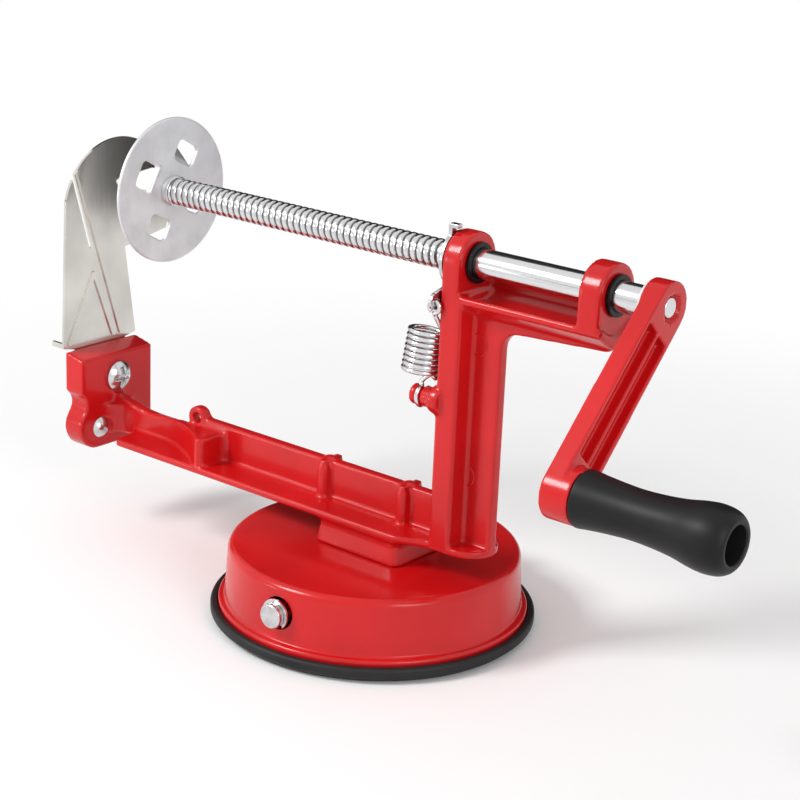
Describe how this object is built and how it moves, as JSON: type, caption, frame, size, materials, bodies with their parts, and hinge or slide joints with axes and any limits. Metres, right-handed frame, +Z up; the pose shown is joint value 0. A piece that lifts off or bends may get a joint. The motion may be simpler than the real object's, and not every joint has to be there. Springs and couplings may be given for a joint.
{
  "type": "tornado potato cutter",
  "caption": "Hand-cranked spiral potato cutter: cast C-shaped frame on a suction base, threaded push rod with a pronged disc, upright blade plate and a crank with a spinning grip.",
  "frame": {"origin": "centre of the suction pad's underside, on the table", "axes": "+X from the blade towards the crank along the rod, +Z up, crank hanging towards -Y"},
  "size_m": [0.2861, 0.1084, 0.1484],
  "materials": {
    "red_paint": "glossy red powder coat",
    "black_rubber": "matt",
    "chrome": "bright plated",
    "satin_steel": "satin",
    "bright_steel": "polished stainless",
    "plated_fixings": "zinc plated",
    "black_bush": "satin",
    "black_grip": "satin",
    "white_nylon": "satin"
  },
  "bodies": {
    "base": {"suction_pad": "black_rubber", "base_housing": "red_paint", "frame": "red_paint", "frame_screws": "plated_fixings", "front_bush": "black_bush", "rear_bush": "black_bush", "blade_plate": "bright_steel", "blade_screw": "plated_fixings", "blade_nut": "plated_fixings", "blade_rivets": "plated_fixings", "feed_lever_pivot": "plated_fixings", "feed_spring": "chrome"},
    "stud": {"suction_stud": "plated_fixings"},
    "cam": {"cam_shaft": "plated_fixings", "suction_lever": "red_paint", "shaft_clip": "plated_fixings", "lever_screw": "plated_fixings"},
    "feed_carriage": {"rod_washer": "white_nylon"},
    "crank_rod": {"drive_rod": "chrome", "pusher_disc": "satin_steel", "disc_collar": "chrome", "disc_nut": "plated_fixings", "crank_arm": "red_paint", "grip_axle": "plated_fixings", "grip_washer": "plated_fixings"},
    "grip": {"grip": "black_grip"},
    "feed_lever": {"feed_lever": "plated_fixings"}
  },
  "joints": [
    {"name": "suction_lever_turn", "type": "hinge", "parent": "base", "child": "cam", "pos_m": [0.0016, 0, 0.0158], "axis": [0, 1, 0], "range_deg": [0, 90]},
    {"name": "stud_lift", "type": "slide", "parent": "base", "child": "stud", "axis": [0, 0, 1], "range_m": [0, 0.00254]},
    {"name": "rod_feed", "type": "slide", "parent": "base", "child": "feed_carriage", "axis": [1, 0, 0], "range_m": [-0.00781, 0.10661]},
    {"name": "crank_turn", "type": "hinge", "parent": "feed_carriage", "child": "crank_rod", "pos_m": [0, 0, 0.124], "axis": [1, 0, 0], "range_deg": [-1080, 14760]},
    {"name": "grip_spin", "type": "hinge", "parent": "crank_rod", "child": "grip", "pos_m": [0.13, -0.04313, 0.08087], "axis": [1, 0, 0], "continuous": true},
    {"name": "feed_release", "type": "hinge", "parent": "base", "child": "feed_lever", "pos_m": [0.0273, 0.0056, 0.108], "axis": [1, 0, 0], "range_deg": [-9, 0], "stiffness_Nm_per_rad": 0.1, "springref_deg": 34.38, "deforming": ["feed_spring"]}
  ],
  "couplings": [
    {"joint": "rod_feed", "follows": "crank_turn", "m_per_rad": 0.0004138},
    {"joint": "suction_lever_turn", "follows": "stud_lift", "rad_per_m": 617.07}
  ]
}
